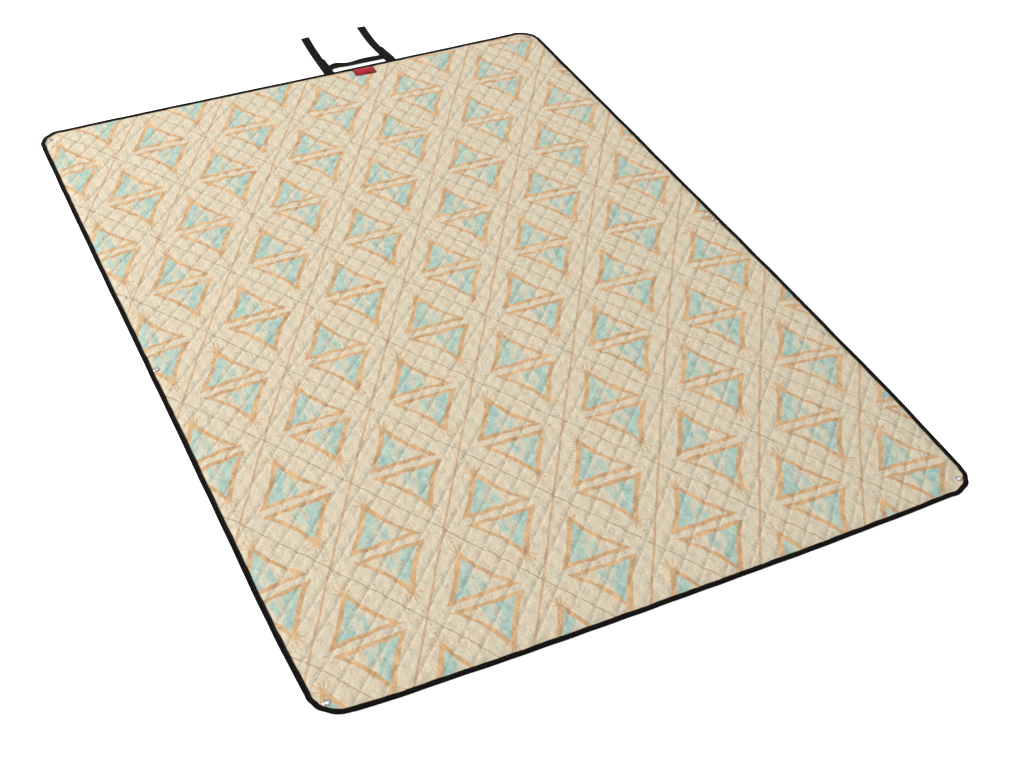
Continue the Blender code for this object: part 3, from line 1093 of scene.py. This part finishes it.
def ringStations():          # places along the sheet's edge, anticlockwise from the near side's left cut
    half = outline["halfWidth"]
    radius = outline["cornerRadius"]
    near, far = outline["near"], outline["far"]
    stations = []
    cuts = []

    def run(start, end):
        start, end = np.array(start), np.array(end)
        count = max(2, round(float(np.linalg.norm(end - start)) / tape["step"]))
        way = (end - start) / np.linalg.norm(end - start)
        for share in np.arange(count) / count:
            stations.append((*(start + (end - start) * share), way[1], -way[0]))

    def turn(centreX, centreY, first):
        count = round(radius * math.pi / 2 / tape["step"])
        for share in np.arange(count) / count:
            angle = first + share * math.pi / 2
            outX, outY = math.cos(angle), math.sin(angle)
            stations.append((centreX + radius * outX, centreY + radius * outY, outX, outY))

    def cut():
        cuts.append(len(stations))

    left, right, low, high = radius - half, half - radius, near + radius, far - radius
    cut()
    run((-tape["cutNear"], near), (tape["cutNear"], near))
    cut()
    run((tape["cutNear"], near), (right, near))
    turn(right, low, -math.pi / 2)
    run((half, low), (half, high))
    turn(right, high, 0.0)
    run((right, far), (tape["cutFarRight"], far))
    cut()
    run((tape["cutFarRight"], far), (tape["cutFarLeft"], far))
    cut()
    run((tape["cutFarLeft"], far), (left, far))
    turn(left, high, math.pi / 2)
    run((-half, high), (-half, low))
    turn(left, low, math.pi)
    run((left, near), (-tape["cutNear"], near))
    return np.array(stations), cuts


def tapeSection():          # the folded tape cut across: (inwards from the edge, up)
    width = tape["width"]
    wall = tape["thickness"]
    height = tape["height"]

    def foldRound(inset, points=9):
        centreIn = height * 0.48
        angles = np.linspace(-math.pi / 2, -3 * math.pi / 2, points)
        wide = centreIn - inset
        high = height / 2 - inset
        return [(centreIn + wide * math.cos(a), height / 2 + high * math.sin(a)) for a in angles]

    outer = [(width, 0.0), (width * 0.7, 0.0), (width * 0.4, 0.0)] + foldRound(0.0)
    outer += [(width * 0.4, height), (width * 0.7, height)]
    outer += [(width * 0.90, height * 0.98), (width * 0.985, height * 0.94)]
    inner = [(width, height * 0.88), (width * 0.97, height - wall), (width * 0.7, height - wall * 1.1)]
    inner += foldRound(wall)[::-1]
    inner += [(width * 0.7, wall), (width * 0.97, wall), (width, wall * 0.6)]
    return np.array(outer + inner)


def makeTape():
    stations, cuts = ringStations()
    section = tapeSection()
    x, y, outX, outY = (stations[:, i][:, None] for i in range(4))
    nearSide = np.abs(x) - outline["halfWidth"] + 0.08
    nearEnd = np.abs(y - outline["middle"]) - outline["halfLength"] + 0.08
    cornerness = smooth(np.minimum(nearSide, nearEnd) / 0.02)
    sway = -tape["sway"] + tape["sway"] * drift(x, y, 0.11, 61)
    sway = sway + tape["cornerSway"] * cornerness * drift(x, y, 0.038, 62)
    lift = tape["lift"] * (1 + drift(x, y, 0.20, 63))
    wider = 1 + 0.05 * drift(x, y, 0.05, 64)
    inwards = section[None, :, 0] * wider
    fold = smooth(inwards / tape["width"])
    wavy = tape["wave"] * drift(x, y, 0.012, 65) * fold * (section[None, :, 1] > tape["height"] * 0.6)
    up = section[None, :, 1] * (1 + 0.06 * drift(x, y, 0.07, 66)) + wavy + lift * (1 - fold) * 0.6
    places = bowed(x + outX * (sway - inwards), y + outY * (sway - inwards))
    points = np.stack([*places, up + 0 * x], -1)
    normals = gridNormals(points, wrap=(True, True))
    outermost = np.argmin(section[:, 0])
    facing = (normals[:, outermost, 0] * outX[:, 0] + normals[:, outermost, 1] * outY[:, 0]).mean()
    normals *= np.sign(facing)
    steps = np.linalg.norm(np.diff(section, axis=0, append=section[:1]), axis=1)
    around = np.concatenate([[0], np.cumsum(steps)[:-1]])
    strides = np.diff(stations[:, :2], axis=0, prepend=stations[:1, :2])
    length = np.cumsum(np.hypot(strides[:, 0], strides[:, 1]))
    place = np.stack(np.broadcast_arrays(around[None, :], length[:, None]), -1)
    total = len(stations)
    ring = len(section)
    fromSeam = np.abs(section[:, 0] - tape["width"] * 0.7)
    seamAt = int(np.argmin(fromSeam + np.abs(section[:, 1] - tape["height"])))
    underAt = int(np.argmin(fromSeam + np.abs(section[:, 1])))
    owners = [
        ("Near", 1, ["binding_left_inner_near", "binding_right_inner_near"]),
        ("Right", 2, ["binding_right_outer"]),
        ("Far", 1, ["binding_left_inner_far", "binding_right_inner_far"]),
        ("Left", 0, ["binding_left_outer"]),
    ]
    for (word, bend, nodes), first, last in zip(owners, cuts, cuts[1:] + [total]):
        rows = np.arange(first, last + 1) % total
        own = points[rows].reshape(-1, 3)
        faces = [(p, s, r, q) for p, q, r, s in ringFaces(len(rows), ring)]
        faces.append(tuple(range(ring)))
        faces.append(tuple((len(rows) - 1) * ring + b for b in range(ring))[::-1])
        if facing < 0:
            faces = [face[::-1] for face in faces]
        ownPlaces = place[rows].copy()
        run = ownPlaces[1:, :, 1]          # the last row is the ring's first, so its length is set anew
        run[:] = np.where(run < ownPlaces[0, 0, 1], ownPlaces[-2, 0, 1] + tape["step"], run)
        ownNormals = normals[rows].reshape(-1, 3)
        piece = newPiece(
            f"edgeTape{word}", own, faces, materials["tape"], ownNormals, ownPlaces.reshape(-1, 2)
        )
        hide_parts(*nodes)
        bendWith(piece, bend)
        lines = np.concatenate([
            points[rows, seamAt] + normals[rows, seamAt] * 0.0001,
            points[rows, underAt] + normals[rows, underAt] * 0.00005,
        ])
        lines[:, 2] = np.maximum(lines[:, 2], 0.0002)
        count = len(rows)
        chain = np.stack([np.arange(count - 1), np.arange(1, count)], -1)
        edges = np.concatenate([chain, chain + count])
        thread = sewn(
            f"tapeStitches{word}", lines, edges, materials["blackThread"],
            Spacing=0.0032, Length=0.0026, Width=0.0005, Sway=0.0001,
        )
        layDown(thread, bend)
    print("edge tape ready")


makeCovers()
makeBackings()
makeWadding()
makeThreads()
makeTape()


# eyelets: one turned form each, the flange, the barrel and the clenched washer below

eyelet = {
    "hole": 0.0038,
    "flange": 0.00775,
    "crest": 0.0048,
    "edge": 0.0030,
    "washer": 0.0074,
    "sides": 40,
}


def makeEyelets():
    hole, flange, washer = eyelet["hole"], eyelet["flange"], eyelet["washer"]
    crest, edge = eyelet["crest"], eyelet["edge"]
    section = [          # radius and height: up the bore, out over the flange, back, and round the washer
        (hole, 0.0010), (hole, 0.0040), (hole + 0.0002, crest - 0.0003), (hole + 0.0007, crest),
        (hole + 0.0016, crest - 0.0001), (flange - 0.0010, edge + 0.0008), (flange - 0.0002, edge + 0.0005),
        (flange, edge + 0.0002), (flange - 0.0002, edge), (flange - 0.0010, edge),
        (hole + 0.0010, edge + 0.0002), (hole + 0.0006, 0.0028), (hole + 0.0006, 0.0012),
        (hole + 0.0012, 0.0009), (washer - 0.0004, 0.0008), (washer, 0.0006), (washer - 0.0003, 0.0002),
        (hole + 0.0020, 0.0001), (hole + 0.0010, 0.0002), (hole + 0.0003, 0.0005),
    ]
    dice = np.random.default_rng(71)
    for place, (x, y) in eyeletPlaces.items():
        x, y = (float(value) for value in bowed(np.array(x), np.array(y)))
        end, side = place.split("_")
        tilt = dice.uniform(-0.05, 0.05, 2)
        points = []
        for k in range(eyelet["sides"]):
            angle = 2 * math.pi * k / eyelet["sides"]
            for radius, up in section:
                dx = radius * math.cos(angle)
                dy = radius * math.sin(angle)
                lean = (dx * tilt[0] + dy * tilt[1]) * min(1.0, up / 0.003)
                points.append((x + dx, y + dy, max(up + lean, 0.0001)))
        faces = ringFaces(eyelet["sides"], len(section), closed=True)
        piece = newPiece(f"eyelet{end.title()}{side.title()}", points, faces, materials["nickel"])
        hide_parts(f"eyelet_{place}", f"washer_{place}")
        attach(piece, f"{side}_outer")
    print("eyelets ready")


makeEyelets()


# straps, handle and label

webbing = {
    "width": 0.025,
    "thickness": 0.0015,
    "rootAt": outline["far"] - 0.0030,
    "tipAt": outline["far"] + 0.220,
    "jointAt": outline["far"] + 0.050,
    "doubleEnd": outline["far"] + 0.079,
    "doubleShift": 0.003,
    "stations": 0.003,
    "handleAt": outline["far"] + 0.0265,
    "boxWide": 0.0090,       # half the width of the sewn boxes, and half their lengths
    "boxLong": 0.0120,
    "endLong": 0.0080,
}

handle = {
    "insideLeft": 0.009,     # its ends lie this far under the straps
    "insideRight": 0.012,
    "rest": 0.00275,         # the height of its middle line where it is sewn down
    "hump": 0.0030,          # it bulges up next to the left strap, and less next to the right one
    "smallHump": 0.0010,
    "twist": 0.10,           # in radians, this way and that
    "stations": 72,
}


def leftRun(y):          # the straps' centre lines, as they lie beyond the sheet
    share = (y - outline["far"]) / 0.22
    return 0.0913 + 0.0085 * np.clip(share, 0, 1) ** 2


def rightRun(y):
    share = np.clip((y - outline["far"]) / 0.22, 0, 1)
    return 0.278 - 0.005 * share - 0.007 * np.sin(math.pi * share)


def bandPiece(name, centres, acrosses, width, thickness, material, slants=(0.0, 0.0)):
    # a flat woven band with round edges along a line of centres; the ends may be cut on a slant
    centres = np.asarray(centres, float)
    acrosses = np.asarray(acrosses, float)
    ahead = np.gradient(centres, axis=0)
    ahead /= np.linalg.norm(ahead, axis=1, keepdims=True)
    acrosses = acrosses - ahead * (acrosses * ahead).sum(1, keepdims=True)
    acrosses /= np.linalg.norm(acrosses, axis=1, keepdims=True)
    ups = np.cross(acrosses, ahead)
    angles = np.linspace(0, 2 * math.pi, 28, endpoint=False)
    sideways = np.sign(np.cos(angles)) * np.abs(np.cos(angles)) ** 0.22 * width / 2
    upwards = np.sign(np.sin(angles)) * np.abs(np.sin(angles)) ** 0.55 * thickness / 2
    points = centres[:, None, :] + acrosses[:, None, :] * sideways[None, :, None]
    points = points + ups[:, None, :] * upwards[None, :, None]
    length = np.concatenate([[0], np.cumsum(np.linalg.norm(np.diff(centres, axis=0), axis=1))])
    for slant, near in zip(slants, (True, False)):
        fade = smooth(1 - (length if near else length[-1] - length) / 0.02)
        cut = fade[:, None] * sideways[None, :] / (width / 2) * slant
        points += ahead[:, None, :] * cut[..., None]
    rows, ring = len(centres), len(angles)
    faces = ringFaces(rows, ring)
    faces.append(tuple(range(ring))[::-1])
    faces.append(tuple((rows - 1) * ring + b for b in range(ring)))
    outwards = points[0, 0] - centres[0]
    if np.cross(points[1, 0] - points[0, 0], points[0, 1] - points[0, 0]) @ outwards > 0:
        faces = [face[::-1] for face in faces]
    aroundBand = sideways[None, :] + (upwards[None, :] < 0) * width
    place = np.stack(np.broadcast_arrays(aroundBand, length[:, None]), -1)
    piece = newPiece(name, points.reshape(-1, 3), faces, material, place=place.reshape(-1, 2))
    piece.data.set_sharp_from_angle(angle=math.radians(50))
    return piece


def strapLine(run, start, end, height, shift=0.0):
    y = np.linspace(start, end, max(3, round((end - start) / webbing["stations"])))
    x = run(y) + shift
    return np.stack([x, y, height(y)], -1), np.tile((1.0, 0.0, 0.0), (len(y), 1))


def strapLow(seed):          # the strap drops from inside the tape to the ground, and lies there loosely
    def height(y):
        fromEdge = y - outline["far"]
        ground = 0.0008 + 0.0004 * (1 + drift(y * 0, y, 0.09, seed)) * smooth(fromEdge / 0.05)
        return ground + 0.0010 * smooth(1 - (fromEdge + 0.003) / 0.016)
    return height


def strapHigh(seed):          # the second layer climbs over the handle's end, and comes down again
    low = strapLow(seed)

    def height(y):
        fromEdge = y - outline["far"]
        over = smooth((fromEdge - 0.006) / 0.008) * smooth((0.052 - fromEdge) / 0.010)
        return low(y) + 0.0016 + 0.0017 * over
    return height


def handleLine():
    start = float(leftRun(webbing["handleAt"])) - handle["insideLeft"]
    end = float(rightRun(webbing["handleAt"])) + handle["insideRight"]
    x = np.linspace(start, end, handle["stations"])
    free = smooth((x - 0.104) / 0.012) * smooth((0.264 - x) / 0.012)
    hump = bell(x - 0.1245, 0.020)
    bulge = handle["hump"] * hump + handle["smallHump"] * bell(x - 0.21, 0.035)
    up = handle["rest"] + free * bulge
    y = outline["far"] + 0.0262 + free * (0.0010 * hump - 0.0016 * bell(x - 0.168, 0.022))
    twist = hump - bell(x - 0.165, 0.025) + 0.5 * bell(x - 0.22, 0.03)
    lean = free * handle["twist"] * twist
    acrosses = np.stack([0 * x, np.cos(lean), np.sin(lean)], -1)
    return np.stack([x, y, up], -1), acrosses


def boxStitches(name, centre, wide, long, height):          # a sewn rectangle with a cross in it
    x, y = centre
    corners = [(-wide, -long), (wide, -long), (wide, long), (-wide, long)]
    lines = [(corners[k], corners[(k + 1) % 4]) for k in range(4)]
    lines += [(corners[0], corners[2]), (corners[1], corners[3])]
    points = []
    edges = []
    for start, end in lines:
        steps = 12
        for k in range(steps + 1):
            px = x + start[0] + (end[0] - start[0]) * k / steps
            py = y + start[1] + (end[1] - start[1]) * k / steps
            if k:
                edges.append((len(points) - 1, len(points)))
            points.append((px, py, height(py)))
    piece = sewn(
        name, points, edges, materials["blackThread"], Spacing=0.0028, Length=0.0023, Width=0.0005
    )
    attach(piece, "harness")


def webbingPiece(name, line, share=1.0, slants=(0.0, 0.0)):          # share is of the full thickness
    thickness = webbing["thickness"] * share
    return bandPiece(name, *line, webbing["width"], thickness, materials["webbing"], slants)


def makeStraps():
    far = outline["far"]
    half = webbing["thickness"] / 2
    for side, run, seed, slant in (("left", leftRun, 81, 0.0026), ("right", rightRun, 82, 0.0006)):
        word = side.title()
        low, high = strapLow(seed), strapHigh(seed)
        shift = webbing["doubleShift"]
        root = webbingPiece(f"strapRoot{word}", strapLine(run, webbing["rootAt"], webbing["jointAt"], low))
        line = strapLine(run, webbing["jointAt"] + 0.0002, webbing["tipAt"] - 0.003, low)
        tip = webbingPiece(f"strapTip{word}", line, slants=(0.0, slant))
        line = strapLine(run, webbing["rootAt"], webbing["doubleEnd"], high, shift)
        double = webbingPiece(f"strapDouble{word}", line, share=0.95)
        for piece in (root, double):
            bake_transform(piece)
        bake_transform(tip)
        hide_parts(f"strap_base_{side}")
        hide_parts(f"strap_layer_{side}")
        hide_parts(f"strap_end_{side}")

        def onDouble(y):
            return float(high(np.array(y))) + half

        wide = webbing["boxWide"]
        middle = float(run(webbing["handleAt"])) + shift
        boxStitches(f"boxStitches{word}", (middle, far + 0.0285), wide, webbing["boxLong"], onDouble)
        middle = float(run(far + 0.066)) + shift / 2
        boxStitches(f"endStitches{word}", (middle, far + 0.0640), wide, webbing["endLong"], onDouble)
        makeHookTape(side, run, low)
        makeLoopPatch(side)
    grip = webbingPiece("carryHandle", handleLine(), share=0.9)
    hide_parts("handle")
    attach(grip, "harness")
    print("straps and handle ready")


fastener = {
    "width": 0.020,
    "base": 0.0005,
    "hookPitch": 0.0016,
    "hookHeight": 0.0009,
    "loopThickness": 0.0006,
}


def makeHookTape(side, run, low):
    start, end = (corner.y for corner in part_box(f"hook_tape_{side}"))
    width = fastener["width"]
    over = webbing["thickness"] / 2 + fastener["base"] / 2 + 0.0001
    line = strapLine(run, start, end - 0.001, lambda y: low(y) + over)
    base = bandPiece(f"hookTape{side.title()}", *line, width, fastener["base"], materials["hooks"])
    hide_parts(f"hook_tape_{side}")
    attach(base, f"strap_{side}")
    # the hooks are stubs in rows, each with a bent tip
    dice = np.random.default_rng(91)
    points = []
    faces = []
    pitchX = fastener["hookPitch"]
    for y in np.arange(start + 0.002, end - 0.003, pitchX):
        for offset in np.arange(-width / 2 + 0.002, width / 2 - 0.001, pitchX):
            x = float(run(y)) + offset + dice.uniform(-0.0001, 0.0001)
            z = float(low(np.array(y))) + over
            lean = 0.0004 if int(round(offset / pitchX)) % 2 else -0.0004
            first = len(points)
            for up, slide, size in ((0.0, 0.0, 0.00020), (0.7, 0.0, 0.00016), (1.0, lean, 0.00024)):
                height = z + up * fastener["hookHeight"]
                for dx, dy in ((-1, -1), (1, -1), (1, 1), (-1, 1)):
                    points.append((x + dx * size, y + slide + dy * size, height))
            for corner in (first, first + 4):
                for k in range(4):
                    ahead = (k + 1) % 4
                    faces.append((corner + k, corner + ahead, corner + 4 + ahead, corner + 4 + k))
            faces.append((first + 8, first + 9, first + 10, first + 11))
            faces.append((first + 3, first + 2, first + 1, first))
    place = np.array(points)[:, :2]
    hooks = newPiece(f"hooks{side.title()}", points, faces, materials["hooks"], place=place)
    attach(hooks, f"strap_{side}")


def makeLoopPatch(side):
    low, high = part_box(f"loop_patch_{side}")
    middle = (low.x + high.x) / 2
    y = np.linspace(low.y, high.y, 30)
    up = 0.0004 + 0.00005 * drift(y * 0, y, 0.02, 92)
    centres = np.stack([middle + 0 * y, y, up], -1)
    acrosses = np.tile((1.0, 0.0, 0.0), (len(y), 1))
    patch = bandPiece(
        f"loopPatch{side.title()}", centres, acrosses, high.x - low.x, fastener["loopThickness"],
        materials["loops"],
    )
    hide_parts(f"loop_patch_{side}")
    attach(patch, "right_inner")


label = {
    "thickness": 0.0005,
    "base": 0.0032,          # its height where it comes out of the tape
    "bulge": 0.0018,         # it stands up in an arch, and more in its middle than at its sides
    "pillow": 0.0020,
    "climb": 0.0013,         # its free end lies on top of the puffing
    "wave": 0.0010,
    "rows": 26,
    "columns": 34,
}


def makeLabel():
    low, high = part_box("label")
    far = outline["far"]
    rootY = far - tape["width"] + 0.0018
    endY = low.y - 0.003
    rows, columns = label["rows"], label["columns"]
    share, side = np.meshgrid(np.linspace(0, 1, rows), np.linspace(0, 1, columns), indexing="ij")
    x = low.x + (high.x - low.x) * side
    hem = 0.0022 * np.sin(side * math.pi * 2.2 + 0.4) - 0.0016 * (side - 0.5)
    y = rootY + (endY - rootY + hem * share) * share
    arch = np.sin(math.pi * np.clip(share * 0.9, 0, 1)) ** 0.8
    waves = np.sin(side * math.pi * 3.2 + 0.7 + share) * smooth(share / 0.5)
    pillow = np.sin(math.pi * side) ** 0.6
    z = label["base"] + (label["bulge"] + label["pillow"] * pillow) * arch
    z = z + label["climb"] * smooth(share / 0.35) + label["wave"] * waves
    top = np.stack([x, y, z], -1)
    normals = gridNormals(top)
    normals *= np.sign(normals[..., 2].mean())
    bottom = top - normals * label["thickness"]
    count = rows * columns
    faces = []
    for a in range(rows - 1):
        for b in range(columns - 1):
            first, ahead = a * columns + b, (a + 1) * columns + b
            quad = (first, ahead, ahead + 1, first + 1)
            faces.append(quad)
            faces.append(tuple(i + count for i in quad[::-1]))
    border = list(range(columns)) + [a * columns + columns - 1 for a in range(1, rows)]
    border += [(rows - 1) * columns + b for b in range(columns - 2, -1, -1)]
    border += [a * columns for a in range(rows - 2, 0, -1)]
    for first, second in zip(border, border[1:] + border[:1]):
        faces.append((first, second, second + count, first + count))
    points = np.concatenate([top.reshape(-1, 3), bottom.reshape(-1, 3)])
    place = np.concatenate([np.stack([x - low.x, y - endY], -1).reshape(-1, 2)] * 2)
    piece = newPiece("sewnLabel", points, faces, materials["label"], place=place)
    piece.data.set_sharp_from_angle(angle=math.radians(50))
    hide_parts("label")
    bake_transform(piece)
    print("label ready")


makeStraps()
makeLabel()


# floor, light and camera

def makeFloor():
    material, tree, shader = newMaterial("paperFloor", roughness=0.9, specular=0.2)
    place = objectPlace(tree)
    grain = noise(tree, place, 0.4, 95.0)
    white = studio["paper"]
    base = blendColour(tree, grain, (white, white, white), (white * 0.99, white * 0.99, white * 0.985))
    paint(tree, shader, base)
    shader.inputs["Emission Color"].default_value = (1.0, 1.0, 1.0, 1.0)
    shader.inputs["Emission Strength"].default_value = studio["paperGlow"]
    half = studio["floorSize"] / 2
    low = studio["floorHeight"]
    corners = [(-half, -half, low), (half, -half, low), (half, half, low), (-half, half, low)]
    floor = newPiece("floor", corners, [(0, 1, 2, 3)], material)


def makeLight():
    world = bpy.data.worlds.new("softStudio")
    world.use_nodes = True
    scene.world = world
    backdrop = world.node_tree.nodes["Background"]
    backdrop.inputs["Color"].default_value = (1.0, 1.0, 1.0, 1.0)
    backdrop.inputs["Strength"].default_value = studio["fill"]
    lamp = bpy.data.lights.new("softKey", "AREA")
    lamp.energy = studio["key"]
    lamp.size = studio["keySize"]
    key = bpy.data.objects.new("softKey", lamp)
    key.location = studio["keyPlace"]
    key.rotation_mode = "QUATERNION"
    key.rotation_quaternion = key.location.to_track_quat("Z", "Y")
    scene.collection.objects.link(key)


camera = {
    "place": (-1.2109, -2.8360, 2.2769),
    "looks": (0.34222, 0.67889, -0.64961),
    "roll": math.radians(1.66),
    "lens": 56.45,
}


def makeCamera():
    data = bpy.data.cameras.new("viewer")
    data.lens = camera["lens"]
    data.sensor_width = 36.0
    viewer = bpy.data.objects.new("viewer", data)
    viewer.rotation_mode = "QUATERNION"
    viewer.location = camera["place"]
    level = Vector(camera["looks"]).to_track_quat("-Z", "Y")
    viewer.rotation_quaternion = level @ Quaternion((0, 0, 1), camera["roll"])
    scene.collection.objects.link(viewer)
    scene.camera = viewer


makeFloor()
makeLight()
makeCamera()
scene.view_settings.view_transform = "Standard"
bpy.context.view_layer.update()
print("scene ready")
